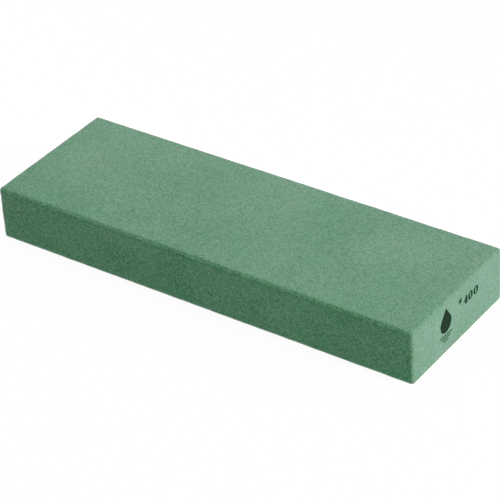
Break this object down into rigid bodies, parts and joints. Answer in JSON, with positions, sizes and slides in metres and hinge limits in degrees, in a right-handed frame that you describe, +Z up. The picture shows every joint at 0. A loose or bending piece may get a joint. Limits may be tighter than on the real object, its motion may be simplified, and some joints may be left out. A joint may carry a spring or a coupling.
{
  "type": "sharpening whetstone",
  "caption": "Rectangular bench waterstone of pale green bonded abrasive with bevelled edges, its grit grade and a plain water-drop mark printed on one end.",
  "frame": {"origin": "centre of the face that the stone rests on", "axes": "+X along the stone towards the printed end, +Y across it, +Z up through its thickness"},
  "size_m": [0.21, 0.07, 0.025],
  "materials": {
    "bonded_abrasive": "matt, fine even grain with small pores",
    "printing_ink": "thin matt dark green-black ink"
  },
  "bodies": {
    "root": {"abrasive_block": "bonded_abrasive", "grit_number_print": "printing_ink", "water_drop_print": "printing_ink", "water_line_print": "printing_ink"}
  },
  "joints": []
}
